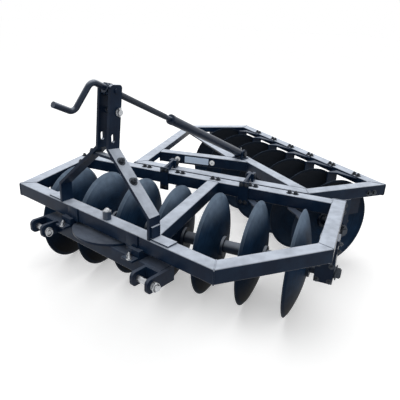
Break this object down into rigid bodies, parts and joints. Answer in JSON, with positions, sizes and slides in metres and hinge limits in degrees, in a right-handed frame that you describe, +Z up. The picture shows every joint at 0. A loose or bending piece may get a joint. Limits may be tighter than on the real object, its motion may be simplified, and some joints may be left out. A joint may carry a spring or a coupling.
{
  "type": "offset disc harrow",
  "caption": "Offset disc harrow for a three-point linkage: two hinged tube frames with disc gangs set at opposite angles, a bent-bar mast and a hand crank that levels the rear frame.",
  "frame": {"origin": "centre of the machine's box, on the ground under the discs", "axes": "+X across the machine to the right seen from behind the tractor, +Y to the rear, +Z up"},
  "size_m": [1.91, 2.3877, 1.1702],
  "materials": {
    "frame_paint": "gloss",
    "disc_paint": "satin",
    "zinc_steel": "zinc plated",
    "axle_steel": "dark oiled",
    "cast_spool": "painted",
    "board_face": "gloss"
  },
  "bodies": {
    "front_frame": {"front_bar": "frame_paint", "right_front_bar": "frame_paint", "right_side_bar": "frame_paint", "front_gang_bar": "frame_paint", "left_side_bar": "frame_paint", "centre_strut": "frame_paint", "front_hangers": "frame_paint", "front_scrapers": "frame_paint", "mast_plate_left": "frame_paint", "mast_plate_right": "frame_paint", "mast_cross_piece": "frame_paint", "top_link_pin": "zinc_steel", "hitch_beam": "frame_paint", "hitch_forks": "frame_paint", "hitch_pins": "zinc_steel", "hitch_clamps": "frame_paint", "bar_post": "zinc_steel", "hinge_brackets": "frame_paint", "hinge_pins": "zinc_steel", "foot_brackets": "frame_paint"},
    "rear_frame": {"rear_hinge_bar": "frame_paint", "rear_right_bar": "frame_paint", "rear_gang_bar": "frame_paint", "rear_far_bar": "frame_paint", "rear_left_bar": "frame_paint", "rear_brace_right": "frame_paint", "rear_cross_bar": "frame_paint", "rear_brace_left": "frame_paint", "rear_hangers": "frame_paint", "rear_scrapers": "frame_paint", "hinge_lugs": "frame_paint", "apex_lugs": "frame_paint", "apex_pin": "zinc_steel", "marker_board": "board_face"},
    "front_gang": {"front_discs": "disc_paint", "front_spools": "cast_spool", "front_axle": "axle_steel", "front_axle_nuts": "axle_steel"},
    "rear_gang": {"rear_discs": "disc_paint", "rear_spools": "cast_spool", "rear_axle": "axle_steel", "rear_axle_nuts": "axle_steel"},
    "screw_trunnion": {"screw_trunnion": "frame_paint"},
    "levelling_screw": {"levelling_screw": "frame_paint"},
    "levelling_tube": {"levelling_tube": "frame_paint"}
  },
  "joints": [
    {"name": "rear_frame_pitch", "type": "hinge", "parent": "front_frame", "child": "rear_frame", "pos_m": [-0.01428, -0.11565, 0.572], "axis": [0.9642, 0.2651, 0], "range_deg": [-5, 5]},
    {"name": "front_gang_spin", "type": "hinge", "parent": "front_frame", "child": "front_gang", "pos_m": [0.035, -0.4882, 0.28], "axis": [0.9642, 0.2651, 0], "continuous": true},
    {"name": "rear_gang_spin", "type": "hinge", "parent": "rear_frame", "child": "rear_gang", "pos_m": [0.00787, 0.58206, 0.28], "axis": [0.8985, -0.439, 0], "continuous": true},
    {"name": "screw_trunnion_tilt", "type": "hinge", "parent": "front_frame", "child": "screw_trunnion", "pos_m": [0.035, -0.9262, 1.12], "axis": [1, 0, 0], "range_deg": [-1.6, 1.6]},
    {"name": "levelling_screw_spin", "type": "hinge", "parent": "screw_trunnion", "child": "levelling_screw", "pos_m": [0.035, -0.9262, 1.12], "axis": [-0.0759, 0.9099, -0.4077], "continuous": true},
    {"name": "levelling_tube_slide", "type": "slide", "parent": "screw_trunnion", "child": "levelling_tube", "axis": [-0.0759, 0.9099, -0.4077], "range_m": [-0.017, 0.017]}
  ],
  "couplings": [
    {"joint": "screw_trunnion_tilt", "follows": "rear_frame_pitch", "ratio": 0.2803},
    {"joint": "levelling_tube_slide", "follows": "rear_frame_pitch", "m_per_rad": -0.1678}
  ]
}
